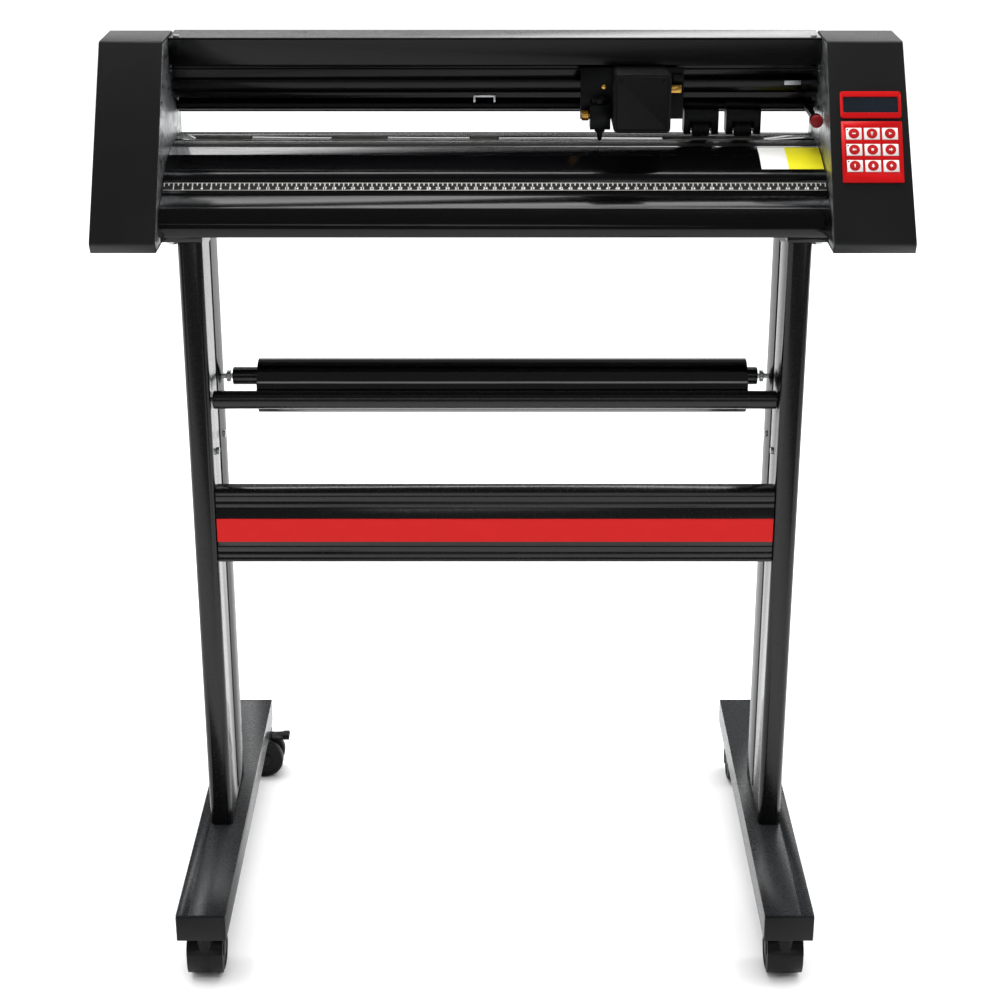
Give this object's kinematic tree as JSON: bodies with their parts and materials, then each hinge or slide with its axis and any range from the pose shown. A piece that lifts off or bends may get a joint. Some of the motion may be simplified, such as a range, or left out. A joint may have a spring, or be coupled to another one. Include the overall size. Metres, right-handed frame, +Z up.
{
  "type": "vinyl cutter",
  "caption": "Floor-standing vinyl cutter: cutting head with sliding tool carriage, feed and pinch rollers and keypad, on a castored stand that holds a roll of film.",
  "frame": {"origin": "on the floor, below the middle of the overall box; the stand's posts are centred on Y = 0", "axes": "+X along the machine to the operator's right, +Y to the back, +Z up; the operator stands at -Y"},
  "size_m": [0.86, 0.515, 0.986],
  "materials": {
    "coated_aluminium": "satin black powder coat on aluminium",
    "coated_steel": "black powder coat on sheet steel",
    "moulded_plastic": "fine textured black plastic",
    "castor_tread": "hard black nylon",
    "zinc_steel": "zinc plated",
    "bright_steel": "ground bright",
    "black_steel": "black oxide",
    "pinch_rubber": "soft black rubber",
    "brass": "turned brass",
    "black_film": "glossy black vinyl film",
    "red_panel": "printed red membrane",
    "display_plastic": "smoked display window",
    "board": "circuit board",
    "key_plastic": "white key caps"
  },
  "bodies": {
    "stand_and_head": {"left_base_rail": "coated_aluminium", "right_base_rail": "coated_aluminium", "rail_end_plugs": "moulded_plastic", "castor_stems": "zinc_steel", "left_post": "coated_aluminium", "right_post": "coated_aluminium", "mount_plates": "coated_steel", "stretcher": "coated_aluminium", "stand_fasteners": "zinc_steel", "left_end_cap": "moulded_plastic", "right_end_cap": "moulded_plastic", "end_frames": "zinc_steel", "platen": "coated_aluminium", "cutting_strip": "pinch_rubber", "lower_cover": "coated_steel", "top_beam": "coated_aluminium", "carriage_track": "coated_aluminium", "stepper_motors": "zinc_steel", "carriage_belt": "pinch_rubber", "electronics": "board", "power_inlet": "moulded_plastic", "keypad_panel": "red_panel", "display_bezel": "red_panel"},
    "carriage": {"carriage_plate": "bright_steel", "carriage_cover": "moulded_plastic"},
    "tool": {"tool_clamp": "black_steel", "blade_holder": "brass"},
    "clamp_screw": {"clamp_screw": "brass"},
    "pinch_bar": {"pinch_bar": "bright_steel"},
    "pinch_arm_1": {"pinch_arm_1": "black_steel"},
    "pinch_wheel_1": {"pinch_wheel_1": "pinch_rubber"},
    "pinch_arm_2": {"pinch_arm_2": "black_steel"},
    "pinch_wheel_2": {"pinch_wheel_2": "pinch_rubber"},
    "grit_shaft": {"grit_shaft": "bright_steel"},
    "motor_pinion": {"motor_pinion": "moulded_plastic"},
    "carriage_pulley": {"carriage_pulley": "moulded_plastic"},
    "idler_pulley": {"idler_pulley": "moulded_plastic"},
    "media_roll": {"media_roll": "black_film"},
    "front_roller": {"front_roller": "coated_aluminium"},
    "rear_roller": {"rear_roller": "coated_aluminium"},
    "castor_front_left": {"castor_hood_front_left": "moulded_plastic"},
    "wheels_of_front_left": {"castor_wheels_front_left": "castor_tread"},
    "castor_front_right": {"castor_hood_front_right": "moulded_plastic"},
    "wheels_of_front_right": {"castor_wheels_front_right": "castor_tread"},
    "castor_rear_left": {"castor_hood_rear_left": "moulded_plastic"},
    "wheels_of_rear_left": {"castor_wheels_rear_left": "castor_tread"},
    "brake_of_rear_left": {"castor_brake_rear_left": "moulded_plastic"},
    "castor_rear_right": {"castor_hood_rear_right": "moulded_plastic"},
    "wheels_of_rear_right": {"castor_wheels_rear_right": "castor_tread"},
    "brake_of_rear_right": {"castor_brake_rear_right": "moulded_plastic"},
    "key_1": {"key_1": "key_plastic"},
    "key_2": {"key_2": "key_plastic"},
    "key_3": {"key_3": "key_plastic"},
    "key_4": {"key_4": "key_plastic"},
    "key_5": {"key_5": "key_plastic"},
    "key_6": {"key_6": "key_plastic"},
    "key_7": {"key_7": "key_plastic"},
    "key_8": {"key_8": "key_plastic"},
    "key_9": {"key_9": "key_plastic"},
    "power_switch": {"power_switch": "moulded_plastic"}
  },
  "joints": [
    {"name": "carriage_slide", "type": "slide", "parent": "stand_and_head", "child": "carriage", "axis": [1, 0, 0], "range_m": [-0.42, 0.125]},
    {"name": "tool_lift", "type": "slide", "parent": "carriage", "child": "tool", "axis": [0, 0, 1], "range_m": [-0.0028, 0], "stiffness_N_per_m": 400},
    {"name": "clamp_screw_turn", "type": "hinge", "parent": "tool", "child": "clamp_screw", "pos_m": [0.1055, 0.064, 0.902], "axis": [1, 0, 0], "continuous": true},
    {"name": "pinch_lift", "type": "hinge", "parent": "stand_and_head", "child": "pinch_bar", "pos_m": [-0.0085, 0.116, 0.903], "axis": [1, 0, 0], "range_deg": [-18, 0]},
    {"name": "pinch_1_slide", "type": "slide", "parent": "pinch_bar", "child": "pinch_arm_1", "axis": [1, 0, 0], "range_m": [-0.53, 0.004]},
    {"name": "pinch_1_roll", "type": "hinge", "parent": "pinch_arm_1", "child": "pinch_wheel_1", "pos_m": [0.2185, 0.1, 0.8798], "axis": [1, 0, 0], "continuous": true},
    {"name": "pinch_2_slide", "type": "slide", "parent": "pinch_bar", "child": "pinch_arm_2", "axis": [1, 0, 0], "range_m": [-0.004, 0.041]},
    {"name": "pinch_2_roll", "type": "hinge", "parent": "pinch_arm_2", "child": "pinch_wheel_2", "pos_m": [0.265, 0.1, 0.8798], "axis": [1, 0, 0], "continuous": true},
    {"name": "feed_turn", "type": "hinge", "parent": "stand_and_head", "child": "grit_shaft", "pos_m": [-0.0085, 0.1, 0.8605], "axis": [1, 0, 0], "continuous": true},
    {"name": "pinion_turn", "type": "hinge", "parent": "stand_and_head", "child": "motor_pinion", "pos_m": [0.362, 0.07993, 0.85078], "axis": [1, 0, 0], "continuous": true},
    {"name": "carriage_pulley_turn", "type": "hinge", "parent": "stand_and_head", "child": "carriage_pulley", "pos_m": [0.36, 0.082, 0.958], "axis": [0, 1, 0], "continuous": true},
    {"name": "idler_pulley_turn", "type": "hinge", "parent": "stand_and_head", "child": "idler_pulley", "pos_m": [-0.377, 0.082, 0.958], "axis": [0, 1, 0], "continuous": true},
    {"name": "roll_turn", "type": "hinge", "parent": "stand_and_head", "child": "media_roll", "pos_m": [-0.0005, 0, 0.61487], "axis": [1, 0, 0], "continuous": true},
    {"name": "front_roller_turn", "type": "hinge", "parent": "stand_and_head", "child": "front_roller", "pos_m": [-0.0085, -0.0412, 0.612], "axis": [1, 0, 0], "continuous": true},
    {"name": "rear_roller_turn", "type": "hinge", "parent": "stand_and_head", "child": "rear_roller", "pos_m": [-0.0085, 0.0412, 0.612], "axis": [1, 0, 0], "continuous": true},
    {"name": "swivel_front_left", "type": "hinge", "parent": "stand_and_head", "child": "castor_front_left", "pos_m": [-0.3295, -0.2335, 0.061], "axis": [0, 0, 1], "continuous": true},
    {"name": "wheels_front_left", "type": "hinge", "parent": "castor_front_left", "child": "wheels_of_front_left", "pos_m": [-0.3295, -0.2155, 0.025], "axis": [-1, 0, 0], "continuous": true},
    {"name": "swivel_front_right", "type": "hinge", "parent": "stand_and_head", "child": "castor_front_right", "pos_m": [0.3125, -0.2335, 0.061], "axis": [0, 0, 1], "continuous": true},
    {"name": "wheels_front_right", "type": "hinge", "parent": "castor_front_right", "child": "wheels_of_front_right", "pos_m": [0.3125, -0.2155, 0.025], "axis": [-1, 0, 0], "continuous": true},
    {"name": "swivel_rear_left", "type": "hinge", "parent": "stand_and_head", "child": "castor_rear_left", "pos_m": [-0.3295, 0.2335, 0.061], "axis": [0, 0, 1], "continuous": true},
    {"name": "wheels_rear_left", "type": "hinge", "parent": "castor_rear_left", "child": "wheels_of_rear_left", "pos_m": [-0.3115, 0.2335, 0.025], "axis": [0, 1, 0], "continuous": true},
    {"name": "brake_rear_left", "type": "hinge", "parent": "castor_rear_left", "child": "brake_of_rear_left", "pos_m": [-0.3017, 0.2335, 0.051], "axis": [0, 1, 0], "range_deg": [0, 16]},
    {"name": "swivel_rear_right", "type": "hinge", "parent": "stand_and_head", "child": "castor_rear_right", "pos_m": [0.3125, 0.2335, 0.061], "axis": [0, 0, 1], "continuous": true},
    {"name": "wheels_rear_right", "type": "hinge", "parent": "castor_rear_right", "child": "wheels_of_rear_right", "pos_m": [0.3125, 0.2155, 0.025], "axis": [1, 0, 0], "continuous": true},
    {"name": "brake_rear_right", "type": "hinge", "parent": "castor_rear_right", "child": "brake_of_rear_right", "pos_m": [0.3125, 0.2057, 0.051], "axis": [1, 0, 0], "range_deg": [0, 16]},
    {"name": "key_1_press", "type": "slide", "parent": "stand_and_head", "child": "key_1", "axis": [0, -0.8211, 0.5708], "range_m": [-0.0008, 0], "stiffness_N_per_m": 900},
    {"name": "key_2_press", "type": "slide", "parent": "stand_and_head", "child": "key_2", "axis": [0, -0.8211, 0.5708], "range_m": [-0.0008, 0], "stiffness_N_per_m": 900},
    {"name": "key_3_press", "type": "slide", "parent": "stand_and_head", "child": "key_3", "axis": [0, -0.8211, 0.5708], "range_m": [-0.0008, 0], "stiffness_N_per_m": 900},
    {"name": "key_4_press", "type": "slide", "parent": "stand_and_head", "child": "key_4", "axis": [0, -0.8211, 0.5708], "range_m": [-0.0008, 0], "stiffness_N_per_m": 900},
    {"name": "key_5_press", "type": "slide", "parent": "stand_and_head", "child": "key_5", "axis": [0, -0.8211, 0.5708], "range_m": [-0.0008, 0], "stiffness_N_per_m": 900},
    {"name": "key_6_press", "type": "slide", "parent": "stand_and_head", "child": "key_6", "axis": [0, -0.8211, 0.5708], "range_m": [-0.0008, 0], "stiffness_N_per_m": 900},
    {"name": "key_7_press", "type": "slide", "parent": "stand_and_head", "child": "key_7", "axis": [0, -0.8211, 0.5708], "range_m": [-0.0008, 0], "stiffness_N_per_m": 900},
    {"name": "key_8_press", "type": "slide", "parent": "stand_and_head", "child": "key_8", "axis": [0, -0.8211, 0.5708], "range_m": [-0.0008, 0], "stiffness_N_per_m": 900},
    {"name": "key_9_press", "type": "slide", "parent": "stand_and_head", "child": "key_9", "axis": [0, -0.8211, 0.5708], "range_m": [-0.0008, 0], "stiffness_N_per_m": 900},
    {"name": "power_switch_rock", "type": "hinge", "parent": "stand_and_head", "child": "power_switch", "pos_m": [0.4012, 0.137, 0.828], "axis": [1, 0, 0], "range_deg": [-8, 8]}
  ],
  "couplings": [
    {"joint": "pinion_turn", "follows": "feed_turn", "ratio": -1.75},
    {"joint": "carriage_pulley_turn", "follows": "carriage_slide", "rad_per_m": -112.36},
    {"joint": "idler_pulley_turn", "follows": "carriage_slide", "rad_per_m": -112.36},
    {"joint": "front_roller_turn", "follows": "roll_turn", "ratio": -3.1},
    {"joint": "rear_roller_turn", "follows": "roll_turn", "ratio": -3.1}
  ]
}
